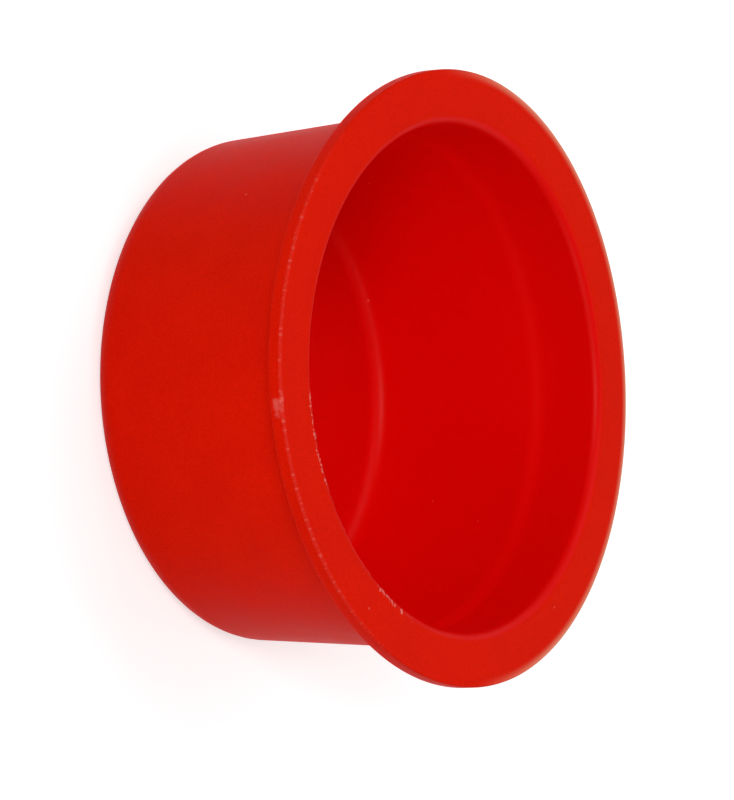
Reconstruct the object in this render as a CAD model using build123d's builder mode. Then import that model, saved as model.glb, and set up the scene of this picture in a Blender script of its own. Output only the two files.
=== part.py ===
from build123d import *
import os
from math import radians, tan

os.makedirs("parts", exist_ok=True)

# Tapered protection cap with a wide flange, one thin-walled moulding in soft polyethylene.
# Millimetres. The origin is the centre of the closed end's underside, and +Z runs up the
# axis to the open mouth, so the cap stands on its closed end.

# Driving dimensions
flange_diameter = 60.0
flange_thickness = 1.5
overall_height = 27.0
body_diameter_at_flange = 52.6    # outside of the tapered wall, where it meets the flange
draft_angle = 3.9                 # degrees, of the tapered wall, inside and out
wall_thickness = 1.7
floor_thickness = 1.0

land_diameter = 49.2              # straight part of the bore that grips a tube end
mouth_diameter = 49.5             # the shallow cone that guides the tube end in, at the flange face
lead_in_bottom = 24.0
land_bottom = 20.4
step_bottom = 19.1                # the bore eases in from the land to the tapered wall here

base_corner_radius = 3.0
floor_corner_radius = 1.5
mouth_rounding = 1.0
flange_edge_chamfer = 0.2
flange_root_chamfer = 0.4

# Worked out from the driving dimensions
flange_radius = flange_diameter / 2
flange_underside = overall_height - flange_thickness
body_radius_at_flange = body_diameter_at_flange / 2
land_radius = land_diameter / 2
mouth_radius = mouth_diameter / 2


def outer_wall_radius(height):
    """Radius of the tapered outer wall at a height above the underside."""
    return body_radius_at_flange - (flange_underside - height) * tan(radians(draft_angle))


def inner_wall_radius(height):
    """Radius of the tapered inner wall, one wall thickness inside the outer one."""
    return outer_wall_radius(height) - wall_thickness


def rings_at(part, height):
    """Circular edges of a part that lie at one height, smallest first."""
    level = part.edges().filter_by(GeomType.CIRCLE).filter_by_position(
        Axis.Z, height - 0.001, height + 0.001
    )
    return level.sort_by(SortBy.RADIUS)


with BuildPart() as cap:
    # The outside: a tapered cup under a flat flange
    with BuildSketch(Plane.XZ):
        with BuildLine():
            Polyline(
                (0, 0),
                (outer_wall_radius(0), 0),
                (body_radius_at_flange, flange_underside),
                (flange_radius, flange_underside),
                (flange_radius, overall_height),
                (0, overall_height),
                close=True,
            )
        make_face()
    revolve(axis=Axis.Z)

    # The hollow: tapered wall, small inward step, straight land, shallow lead-in cone
    with BuildSketch(Plane.XZ):
        with BuildLine():
            Polyline(
                (0, floor_thickness),
                (inner_wall_radius(floor_thickness), floor_thickness),
                (inner_wall_radius(step_bottom), step_bottom),
                (land_radius, land_bottom),
                (land_radius, lead_in_bottom),
                (mouth_radius, overall_height),
                (0, overall_height),
                close=True,
            )
        make_face()
    revolve(axis=Axis.Z, mode=Mode.SUBTRACT)

    # Large corners are rounded, so that the soft wall flexes without tearing
    fillet(rings_at(cap.part, 0)[-1], radius=base_corner_radius)
    fillet(rings_at(cap.part, floor_thickness)[-1], radius=floor_corner_radius)
    fillet(rings_at(cap.part, overall_height)[0], radius=mouth_rounding)

    # Small ones are only broken: the flange's root, then its lower and upper edge
    chamfer(rings_at(cap.part, flange_underside)[0], length=flange_root_chamfer)
    chamfer(rings_at(cap.part, flange_underside)[-1], length=flange_edge_chamfer)
    chamfer(rings_at(cap.part, overall_height)[-1], length=flange_edge_chamfer)

cap.part.label = "cap"
export_step(cap.part, "parts/cap.step")
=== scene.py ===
# %% [markdown]
# # A flanged protection cap
#
# The real object is one moulding in soft red polyethylene: a shallow tapered cup with a closed
# end and a wide flat flange round its mouth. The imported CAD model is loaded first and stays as
# it is. The flange's radius and the cap's height are read from it.

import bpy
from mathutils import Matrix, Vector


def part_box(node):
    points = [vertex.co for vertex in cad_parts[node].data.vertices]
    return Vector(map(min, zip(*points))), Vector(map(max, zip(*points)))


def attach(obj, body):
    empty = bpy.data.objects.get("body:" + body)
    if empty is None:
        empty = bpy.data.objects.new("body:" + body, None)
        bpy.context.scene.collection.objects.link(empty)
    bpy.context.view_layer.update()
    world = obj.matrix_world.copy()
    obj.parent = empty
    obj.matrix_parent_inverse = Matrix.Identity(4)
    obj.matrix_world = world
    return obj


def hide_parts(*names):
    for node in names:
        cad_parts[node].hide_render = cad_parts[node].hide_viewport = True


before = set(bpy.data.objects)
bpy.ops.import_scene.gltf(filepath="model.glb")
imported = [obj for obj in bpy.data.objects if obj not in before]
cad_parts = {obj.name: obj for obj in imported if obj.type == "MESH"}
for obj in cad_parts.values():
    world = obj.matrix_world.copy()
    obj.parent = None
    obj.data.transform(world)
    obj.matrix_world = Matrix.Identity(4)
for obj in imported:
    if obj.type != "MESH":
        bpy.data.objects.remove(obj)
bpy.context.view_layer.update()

# %% Tools for this lesson
import math

import bmesh
import bpy
from mathutils import Matrix, Vector

scene = bpy.context.scene
MM = 0.001

# %% [markdown]
# ## The section
#
# A moulded cup is easiest to think of as half a section turned round its axis. The section's
# corners are written here once, as (radius, height) pairs. The flange's radius and the height
# come from the frame. The wall, taper, grip land and lead-in are written out, and have the same
# values as in the CAD model.

# %% Section corners
cap_low, cap_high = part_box("cap")
flange_radius = cap_high[0]
cap_height = cap_high[2]

flange_thickness = 1.5 * MM
wall_thickness = 1.7 * MM
floor_thickness = 1.0 * MM
root_radius = 26.3 * MM
mouth_radius = 24.75 * MM
land_radius = 24.6 * MM
land_top = 24.0 * MM
land_foot = 20.4 * MM
step_foot = 19.1 * MM
mouth_rounding = 1.0 * MM
front_edge_rounding = 0.22 * MM
taper = math.tan(math.radians(3.9))
flange_underside = cap_height - flange_thickness


def outer_wall(height):
    """Radius of the tapered outer wall at a height."""
    return root_radius - (flange_underside - height) * taper


underside_ring = (outer_wall(0.0), 0.0)
root_ring = (root_radius, flange_underside)
flange_back_ring = (flange_radius, flange_underside)
flange_front_ring = (flange_radius, cap_height)
mouth_ring = (mouth_radius, cap_height)
land_top_ring = (land_radius, land_top)
land_foot_ring = (land_radius, land_foot)
step_foot_ring = (outer_wall(step_foot) - wall_thickness, step_foot)
floor_ring = (outer_wall(floor_thickness) - wall_thickness, floor_thickness)
print("Closed end radius, mm:", round(underside_ring[0] / MM, 2))

# %% [markdown]
# ## Helpers for modelling by hand
#
# Blender's operators act on whatever is selected, and loading the frame leaves the CAD node
# selected. So a first helper clears the selection, and a second picks one ring of the cup by
# its radius and height, as a modeller would pick an edge loop with the mouse.

# %% Selection helpers
SEGMENTS = 720


def start_afresh():
    """Leaves edit mode, if need be, and selects nothing."""
    if bpy.context.object and bpy.context.object.mode == "EDIT":
        bpy.ops.object.mode_set(mode="OBJECT")
    bpy.ops.object.select_all(action="DESELECT")


def pick_ring(ring, reach=0.02 * MM):
    """Selects the edges of one ring of the mesh in edit mode, and nothing else."""
    radius, height = ring
    bpy.ops.mesh.select_mode(type="EDGE")
    bpy.ops.mesh.select_all(action="DESELECT")
    mesh = bmesh.from_edit_mesh(bpy.context.object.data)

    def on_ring(corner):
        level = abs(corner.co.z - height) < reach
        return level and abs(math.hypot(corner.co.x, corner.co.y) - radius) < reach

    for edge in mesh.edges:
        if all(on_ring(corner) for corner in edge.verts):
            edge.select_set(True)
    bmesh.update_edit_mesh(bpy.context.object.data)


def pull_ring(ring, to_ring):
    """Extrudes the selected ring to a new radius and height, which stays selected."""
    rise = to_ring[1] - ring[1]
    spread = to_ring[0] / ring[0]
    bpy.ops.mesh.extrude_edges_move(TRANSFORM_OT_translate={"value": (0, 0, rise)})
    bpy.ops.transform.resize(value=(spread, spread, 1))


# %% [markdown]
# ## The cup, ring by ring
#
# The cap starts as a filled circle, the underside of the closed end. Its rim is extruded up the
# tapered wall, out under the flange, round its edge, back over its face and down inside to the
# floor, one ring for each corner of the section. A face then closes the floor. This keeps the
# wall in one closed skin with clean rings of quads, which bevels need.

# %% Extrude the section
start_afresh()
bpy.ops.mesh.primitive_circle_add(
    vertices=SEGMENTS, radius=underside_ring[0], fill_type="NGON", location=(0, 0, 0)
)
cap = bpy.context.object
cap.name = "moulded_cap"
bpy.ops.object.mode_set(mode="EDIT")
pick_ring(underside_ring)

section = [
    underside_ring,
    root_ring,
    flange_back_ring,
    flange_front_ring,
    mouth_ring,
    land_top_ring,
    land_foot_ring,
    step_foot_ring,
    floor_ring,
]
for ring, to_ring in zip(section, section[1:]):
    pull_ring(ring, to_ring)
bpy.ops.mesh.edge_face_add()
print("Rings in the section:", len(section))

# %% [markdown]
# ## Rounded corners
#
# A mould has a radius in every corner that must flex or let the plastic flow. Bevelling one
# ring at a time gives each corner its own radius. The largest ones are the closed end, outside
# and inside. The mouth is rounded by a millimetre, and the flange's edges only just.

# %% Bevel the rings
corner_radii = [
    (underside_ring, 3.0 * MM, 12),
    (floor_ring, 1.5 * MM, 10),
    (mouth_ring, mouth_rounding, 10),
    (root_ring, 0.4 * MM, 4),
    (flange_back_ring, 0.2 * MM, 4),
    (flange_front_ring, front_edge_rounding, 4),
    (land_foot_ring, 0.5 * MM, 3),
    (step_foot_ring, 0.5 * MM, 3),
]
for ring, radius, steps in corner_radii:
    pick_ring(ring)
    bpy.ops.mesh.bevel(offset=radius, segments=steps, affect="EDGES")

bpy.ops.mesh.select_all(action="SELECT")
bpy.ops.mesh.normals_make_consistent(inside=False)
bpy.ops.object.mode_set(mode="OBJECT")


def volume_of(piece):
    """Volume enclosed by a mesh, in cubic centimetres."""
    mesh = bmesh.new()
    mesh.from_mesh(piece.data)
    volume = mesh.calc_volume(signed=True) * 1e6
    mesh.free()
    return volume


print("Volume of the moulding, cubic cm:", round(volume_of(cap), 2))

# %% [markdown]
# ## Flat discs without a fan of slivers
#
# The floor and the underside are still single faces with hundreds of corners. Insetting each
# a few times and poking the last face to its centre gives them rings of quads, so light and
# fine texture run over them evenly.

# %% Ring the floor and the underside


def pick_disc(height):
    """Selects the one big flat face at a height."""
    bpy.ops.mesh.select_mode(type="FACE")
    bpy.ops.mesh.select_all(action="DESELECT")
    mesh = bmesh.from_edit_mesh(bpy.context.object.data)
    for face in mesh.faces:
        if len(face.verts) == SEGMENTS and abs(face.calc_center_median().z - height) < MM / 10:
            face.select_set(True)
    bmesh.update_edit_mesh(bpy.context.object.data)


bpy.ops.object.mode_set(mode="EDIT")
for height in (0.0, floor_thickness):
    pick_disc(height)
    for width in (1.0 * MM, 6.0 * MM, 8.0 * MM):
        bpy.ops.mesh.inset(thickness=width)
    bpy.ops.mesh.poke()
bpy.ops.object.mode_set(mode="OBJECT")
print("Faces in the cap:", len(cap.data.polygons))

# %% [markdown]
# ## Torn flash
#
# Where the two halves of a mould meet, a thread of plastic can squeeze out and be torn off. It
# leaves an edge slightly ragged. Here one ring of the flange's front edge, on the -Y half, and
# one of the mouth's rounding, on one stretch, are nudged in and out by under a tenth of a
# millimetre. The exact nicks are random, with a fixed seed.

# %% Ragged edges


def bearing_of(point):
    """Angle round the axis in degrees, from the -Y side towards +X."""
    return math.degrees(math.atan2(point.x, -point.y))


def roughen_ring(ring, from_bearing, to_bearing, amount, seed):
    """Nudges the corners of one ring, between two bearings, mostly along their normals."""
    pick_ring(ring, reach=0.04 * MM)
    bpy.ops.mesh.select_mode(type="VERT")
    mesh = bmesh.from_edit_mesh(cap.data)
    picked = 0
    for corner in mesh.verts:
        if corner.select:
            wanted = from_bearing < bearing_of(corner.co) < to_bearing
            corner.select_set(wanted)
            picked += wanted
    bmesh.update_edit_mesh(cap.data)
    bpy.ops.transform.vertex_random(offset=amount, uniform=0.2, normal=0.8, seed=seed)
    return picked


edge_turn = math.radians(45)
edge_ring = (
    flange_radius - front_edge_rounding * (1 - math.sin(edge_turn)),
    cap_height - front_edge_rounding * (1 - math.cos(edge_turn)),
)
lip_turn = math.radians(36)
lip_ring = (
    mouth_radius + mouth_rounding * (1 - math.sin(lip_turn)),
    cap_height - mouth_rounding * (1 - math.cos(lip_turn)),
)
bpy.ops.object.mode_set(mode="EDIT")
edge_corners = roughen_ring(edge_ring, -85, 85, 0.03 * MM, seed=4)
lip_corners = roughen_ring(lip_ring, 0, 60, 0.09 * MM, seed=9)
bpy.ops.object.mode_set(mode="OBJECT")
print("Corners nudged on the edge and the lip:", edge_corners, lip_corners)

# %% [markdown]
# ## A slight warp
#
# A thin flange never cools quite flat. This one is a very shallow saddle, up by four tenths of a
# millimetre at +X and -X and down as much at +Y and -Y. A lattice is a cage of a few points
# that bends what is inside it smoothly. Only its top layer is moved, so the closed end stays
# flat and the cap still stands level.

# %% Warp the flange with a lattice
WARP = 0.43 * MM

start_afresh()
bpy.ops.object.add(type="LATTICE", location=(0, 0, cap_height / 2))
cage = bpy.context.object
cage.name = "warp_cage"
cage.scale = (2 * flange_radius, 2 * flange_radius, cap_height)
cage.data.points_u = 3
cage.data.points_v = 3
cage.data.points_w = 2
cage.data.interpolation_type_w = "KEY_LINEAR"
for point in cage.data.points:
    if point.co.z > 0:
        lift = 4 * (point.co.x ** 2 - point.co.y ** 2)
        point.co_deform.z = point.co.z + lift * 2 * WARP / cap_height

start_afresh()
cap.select_set(True)
bpy.context.view_layer.objects.active = cap
bpy.ops.object.modifier_add(type="LATTICE")
cap.modifiers["Lattice"].object = cage
bpy.ops.object.modifier_apply(modifier="Lattice")
start_afresh()
cage.select_set(True)
bpy.ops.object.delete()

heights = [corner.co.z / MM for corner in cap.data.vertices if corner.co.z > 26 * MM]
print("Front edge and face lie between, mm:", round(min(heights), 2), round(max(heights), 2))

# %% [markdown]
# ## Finish of the surface
#
# Smooth shading averages the normals of neighbouring faces. On a part with large flat faces
# and small radii that average tilts the flats, so Weighted Normal gives each normal the
# direction of its largest face, and the flats stay flat.

# %% Smooth shading
start_afresh()
cap.select_set(True)
bpy.context.view_layer.objects.active = cap
bpy.ops.object.shade_smooth()
bpy.ops.object.modifier_add(type="WEIGHTED_NORMAL")
bpy.ops.object.modifier_apply(modifier="WeightedNormal")

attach(cap, "root")
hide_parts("cap")
print("Triangles in the cap:", sum(len(face.vertices) - 2 for face in cap.data.polygons))

# %% [markdown]
# ## Shader maths in plain Python
#
# A material is a web of nodes, and arithmetic by nodes is long to write and hard to read. One
# small class wraps an output, so that an ordinary Python expression adds the Math nodes. Every
# other node comes from its one method, which sets the node's own settings first.

# %% Wire, a value in a material


class Wire:
    """One output of a node. Arithmetic on it adds the nodes that work the result out."""

    def __init__(self, tree, socket=None):
        self.tree = tree
        self.socket = socket

    def node(self, kind, settings=None, values=None, output=0):
        """Adds a node, sets it up, fills or links its inputs, and wraps one output."""
        added = self.tree.nodes.new(kind)
        for name, setting in (settings or {}).items():
            setattr(added, name, setting)
        for name, value in (values or {}).items():
            if isinstance(value, Wire):
                self.tree.links.new(value.socket, added.inputs[name])
            else:
                added.inputs[name].default_value = value
        return Wire(self.tree, added.outputs[output])

    def maths(self, operation, first, second):
        return self.node("ShaderNodeMath", {"operation": operation}, {0: first, 1: second})

    def __add__(self, other):
        return self.maths("ADD", self, other)

    def __radd__(self, other):
        return self.maths("ADD", other, self)

    def __sub__(self, other):
        return self.maths("SUBTRACT", self, other)

    def __rsub__(self, other):
        return self.maths("SUBTRACT", other, self)

    def __mul__(self, other):
        return self.maths("MULTIPLY", self, other)

    def __rmul__(self, other):
        return self.maths("MULTIPLY", other, self)

    def __truediv__(self, other):
        return self.maths("DIVIDE", self, other)

    def __rtruediv__(self, other):
        return self.maths("DIVIDE", other, self)

    def __pow__(self, power):
        return self.maths("POWER", self, power)


def ramp(value, low, high):
    """0 below low, 1 above high, and a smooth change between them."""
    settings = {"interpolation_type": "SMOOTHSTEP", "clamp": True}
    return value.node("ShaderNodeMapRange", settings, {"Value": value, 1: low, 2: high})


def band(value, middle, half_width):
    """1 at the middle of a band, smoothly down to 0 at its edges."""
    away = value.node("ShaderNodeMath", {"operation": "ABSOLUTE"}, {0: value - middle})
    return 1 - ramp(away, 0.4 * half_width, half_width)


def cloud(place, size, detail=2.0):
    """Noise around one half, with lumps of about a size in metres."""
    settings = {"Vector": place, "Scale": 1 / size, "Detail": detail}
    return place.node("ShaderNodeTexNoise", values=settings)


def blend(share, base, other):
    """Mixes two colours by a share from 0 to 1."""
    return share.node(
        "ShaderNodeMix", {"data_type": "RGBA"}, {"Factor": share, 6: base, 7: other}, output=2
    )


# %% [markdown]
# ## Red polyethylene
#
# Soft polyethylene is dyed right through and moulded against a finely blasted steel, so its
# colour is nearly even and its surface dull, with a faint grain. Outside it shines only where
# it is seen at a glancing angle, and inside it has a little more gloss. The inside is painted a
# deeper, purer red, as painted shade and red bounced light in the cup's hollow. Where it is torn
# or scraped it turns pale, which marks the ragged edges; the pale line painted along the near
# half of the flange's front edge is also a painted highlight, and the pale dashes on the mouth's
# edge are also painted glints. The flange's rim is painted paler on the +Y side, a painted sheen
# for glancing light on that far edge. All of this is worked out from the place on the cap.

# %% Places on the cap
red = bpy.data.materials.new("red polyethylene")
red.use_nodes = True
shader = red.node_tree.nodes["Principled BSDF"]
start = Wire(red.node_tree)

place = start.node("ShaderNodeTexCoord", output="Object")
across = place.node("ShaderNodeSeparateXYZ", values={0: place}, output="X")
along = place.node("ShaderNodeSeparateXYZ", values={0: place}, output="Y")
height = place.node("ShaderNodeSeparateXYZ", values={0: place}, output="Z")
radius = (across * across + along * along) ** 0.5
saddle = (across * across - along * along) * (WARP / flange_radius ** 2)
level = height - saddle
bearing = start.node(
    "ShaderNodeMath", {"operation": "ARCTAN2"}, {0: across, 1: along * -1}
) * math.degrees(1)
on_front = ramp(level, cap_height - 0.35 * MM, cap_height - 0.2 * MM)
outer_surface = (level - flange_underside) * taper + root_radius
inside = ramp(outer_surface - radius, 0.5 * wall_thickness, 0.7 * wall_thickness) * ramp(
    level, 0.5 * floor_thickness, 0.7 * floor_thickness
)

# %% Pale marks, painted highlights and painted sheen
CRUMB_SIZE = 0.4 * MM
CLUMP_SIZE = 0.7 * MM
SCUFF_PATCH_SIZE = 0.9 * MM
SPECK_SPACING = 4.5 * MM
LIP_MARK_RADIUS = 25.36 * MM

shreds = start.node(
    "ShaderNodeTexNoise", {"noise_dimensions": "1D"}, {"W": bearing * 1.1 + 7, "Scale": 1.0}
)
crumbs = cloud(place, CRUMB_SIZE)
near_side = band(bearing, 5, 75)
# Painted highlight: a thin pale line runs all along the near half of the flange's front edge for
# the light on its rounding; the shreds on it are torn flash.
edge_line = ramp(radius, flange_radius - 0.3 * MM, flange_radius - 0.15 * MM) * on_front
edge_shreds = ramp(shreds * 0.6 + crumbs * 0.4, 0.54, 0.62)
edge_flash_and_highlight = edge_line * near_side * (0.16 + 0.24 * edge_shreds)

# Torn flash on the mouth's rounding, painted pale as painted glints where the rounding turns away
# from the camera.
ragged_radius = radius + (crumbs - 0.5) * (0.9 * MM)
lip_line = band(ragged_radius, LIP_MARK_RADIUS, 0.34 * MM) * ramp(
    level, cap_height - 0.5 * MM, cap_height - 0.35 * MM
)
torn_stretch = ramp(band(bearing, 12, 14) + band(bearing, 55, 7), 0.2, 0.5)
lip_shreds = ramp(shreds * 0.45 + cloud(place, CLUMP_SIZE) * 0.55, 0.47, 0.55)
lip_flash_and_glints = lip_line * torn_stretch * lip_shreds

scuffed_rim = ramp(level, cap_height - 1.3 * MM, cap_height - 0.9 * MM) * ramp(
    radius, flange_radius - 0.45 * MM, flange_radius - 0.2 * MM
)
scuff_patches = ramp(cloud(place, SCUFF_PATCH_SIZE), 0.3, 0.7)
scuff = band(bearing, 3.2, 3.0) * scuffed_rim * scuff_patches * 0.5

specks_near = start.node(
    "ShaderNodeTexVoronoi", values={"Vector": place, "Scale": 1 / SPECK_SPACING}, output="Distance"
)
specks = (1 - ramp(specks_near, 0.02, 0.045)) * 0.5

# Painted sheen: the rim on the +Y side is painted paler, standing in for light caught at a
# glancing angle on that far edge.
far_side = ramp(along, -2 * MM, 14 * MM)
rim = ramp(radius, flange_radius - 1.1 * MM, flange_radius) ** 1.5
painted_far_edge_sheen = rim * on_front * far_side * 0.85
print("Nodes so far:", len(red.node_tree.nodes))

# %% Colour, gloss and grain
DEEP_RED = (0.705, 0.005, 0.0001, 1)
FULL_RED = (0.83, 0.0105, 0.0002, 1)
# Painted shade: a deeper, purer red for the cup's hollow, where shade and bounced red light deepen
# the colour.
INNER_PAINTED_SHADE_RED = (0.795, 0.0006, 0.0001, 1)
# Pale pink of torn flash, scuffs and specks, and of the painted highlights and glints on the
# edges.
TORN_AND_GLINT_PINK = (0.88, 0.2, 0.17, 1)
# Pale colour of the painted sheen on the +Y rim.
PAINTED_SHEEN_PALE = (0.88, 0.36, 0.22, 1)
INNER_GLOSS = 0.14
MOTTLE_SIZE = 5 * MM
GRAIN_SIZE = 0.16 * MM
GRAIN_DEPTH = 0.01 * MM

mottle = ramp(cloud(place, MOTTLE_SIZE, detail=4.0), 0.3, 0.7)
grain = cloud(place, GRAIN_SIZE)
outer_colour = blend(mottle * 0.25 + ramp(grain, 0.3, 0.7) * 0.75, DEEP_RED, FULL_RED)
colour_with_inner_shade = blend(inside, outer_colour, INNER_PAINTED_SHADE_RED)
with_painted_sheen = blend(painted_far_edge_sheen, colour_with_inner_shade, PAINTED_SHEEN_PALE)
torn_marks_and_glints = ramp(edge_flash_and_highlight + lip_flash_and_glints + scuff + specks, 0.0, 1.0)
marked_and_glinting = blend(torn_marks_and_glints, with_painted_sheen, TORN_AND_GLINT_PINK)
red.node_tree.links.new(marked_and_glinting.socket, shader.inputs["Base Color"])

roughness = 0.44 + 0.06 * mottle + 0.2 * torn_marks_and_glints
red.node_tree.links.new(roughness.socket, shader.inputs["Roughness"])

polish = INNER_GLOSS * inside
red.node_tree.links.new(polish.socket, shader.inputs["Coat Weight"])
shader.inputs["Coat Roughness"].default_value = 0.4

skin = start.node(
    "ShaderNodeBump", values={"Strength": 0.25, "Distance": GRAIN_DEPTH, "Height": grain + torn_marks_and_glints}
)
red.node_tree.links.new(skin.socket, shader.inputs["Normal"])
shader.inputs["Specular IOR Level"].default_value = 0.03
shader.inputs["Specular Tint"].default_value = (1.0, 0.6, 0.2, 1)
cap.data.materials.append(red)
print("Nodes in the red material:", len(red.node_tree.nodes))

# %% [markdown]
# ## Floor
#
# A plain pale sheet under the cap. Its own light is seen by the camera, in reflections and
# through glass, where it makes the sheet white. The cap gets none of it except as a reflection.
# The cap's shadow stays on the sheet, and so does a trace of red from the cap.

# %% Studio floor
SHEET_GLOW = 0.56

start_afresh()
bpy.ops.mesh.primitive_plane_add(size=4.0, location=(0, 0, 0))
floor = bpy.context.object
floor.name = "studio_floor"

sheet = bpy.data.materials.new("pale sheet")
sheet.use_nodes = True
sheet_shader = sheet.node_tree.nodes["Principled BSDF"]
sheet_shader.inputs["Base Color"].default_value = (0.8, 0.8, 0.8, 1)
sheet_shader.inputs["Roughness"].default_value = 0.9
sheet_shader.inputs["Specular IOR Level"].default_value = 0.0
sheet_shader.inputs["Emission Color"].default_value = (1, 1, 1, 1)


def seen_directly(tree):
    """1 for the camera and in reflections or through glass, 0 for light on a surface."""
    rays = Wire(tree)
    camera_ray = rays.node("ShaderNodeLightPath", output="Is Camera Ray")
    glossy_ray = rays.node("ShaderNodeLightPath", output="Is Glossy Ray")
    clear_ray = rays.node("ShaderNodeLightPath", output="Is Transmission Ray")
    return ramp(camera_ray + glossy_ray + clear_ray, 0.0, 1.0)


sheet_glow = seen_directly(sheet.node_tree) * SHEET_GLOW
sheet.node_tree.links.new(sheet_glow.socket, sheet_shader.inputs["Emission Strength"])
floor.data.materials.append(sheet)
print("Floor is", round(floor.dimensions.x, 1), "m wide")

# %% [markdown]
# ## Camera
#
# The cap is seen from a little over a third of the way up, looking into the cup, and the camera
# is rolled nearly a quarter turn, so that the cap seems to stand on its side. A long lens from
# a fair distance shows the mouth and the body with little perspective.

# %% Camera
view_elevation = math.radians(34.58)
view_roll = math.radians(86.85)
view_distance = 0.72
aim = Vector((1.6 * MM, -5.34 * MM, cap_height - 7.75 * MM))
towards_camera = Vector((0, -math.cos(view_elevation), math.sin(view_elevation)))

bpy.ops.object.camera_add(location=aim + towards_camera * view_distance)
camera = bpy.context.object
level_turn = towards_camera.to_track_quat("Z", "Y")
camera.rotation_mode = "QUATERNION"
camera.rotation_quaternion = level_turn @ Matrix.Rotation(view_roll, 4, "Z").to_quaternion()
camera.data.lens = 334.3
camera.data.sensor_width = 36
scene.camera = camera
print("Camera at, m:", [round(part, 3) for part in camera.location])

# %% [markdown]
# ## Light
#
# One small soft lamp stands close beside the camera, a little towards -X, and shades the tapered
# body to its edges. Five large, weak panels stand round and over the cap and fill in the rest,
# and the world adds a little from everywhere. Each lamp's power is worked out from its area, so
# that a panel can change its size and keep its brightness.

# %% Lamps
LAMP_DISTANCE = 0.6
middle = Vector((0, 0, cap_height / 2))


def panel(name, direction, size, brightness):
    """Adds a square lamp at the lamps' distance that faces the cap."""
    outward = Vector(direction).normalized()
    bpy.ops.object.light_add(type="AREA", location=middle + outward * LAMP_DISTANCE)
    lamp = bpy.context.object
    lamp.name = name
    lamp.rotation_mode = "QUATERNION"
    lamp.rotation_quaternion = outward.to_track_quat("Z", "Y")
    lamp.data.size = size
    lamp.data.energy = math.pi * size * size * brightness
    print(name, "watts:", round(lamp.data.energy, 2))


panel("lamp_by_camera", (-0.16, -0.80, 0.575), 0.14, 20.0)
panel("panel_over_minus_x", (-0.5, 0, 0.866), 0.4, 1.55)
panel("panel_over_back", (0, 0.5, 0.866), 0.4, 1.55)
panel("panel_front_plus_x", (0.61, -0.61, 0.5), 0.35, 1.9)
panel("panel_back_minus_x", (-0.69, 0.58, 0.42), 0.35, 0.6)
panel("panel_back_plus_x", (0.69, 0.58, 0.42), 0.35, 0.7)

# %% [markdown]
# ## World
#
# The world is white where the camera, a reflection or a view through glass sees it, and a dim
# even light otherwise.

# %% World
world = bpy.data.worlds.new("studio")
scene.world = world
world.use_nodes = True
surroundings = world.node_tree.nodes["Background"]
surroundings.inputs["Color"].default_value = (1, 1, 1, 1)
DIM = 0.15
world_strength = seen_directly(world.node_tree) * (1 - DIM) + DIM
world.node_tree.links.new(world_strength.socket, surroundings.inputs["Strength"])
scene.view_settings.view_transform = "Standard"
print("World's light:", DIM)
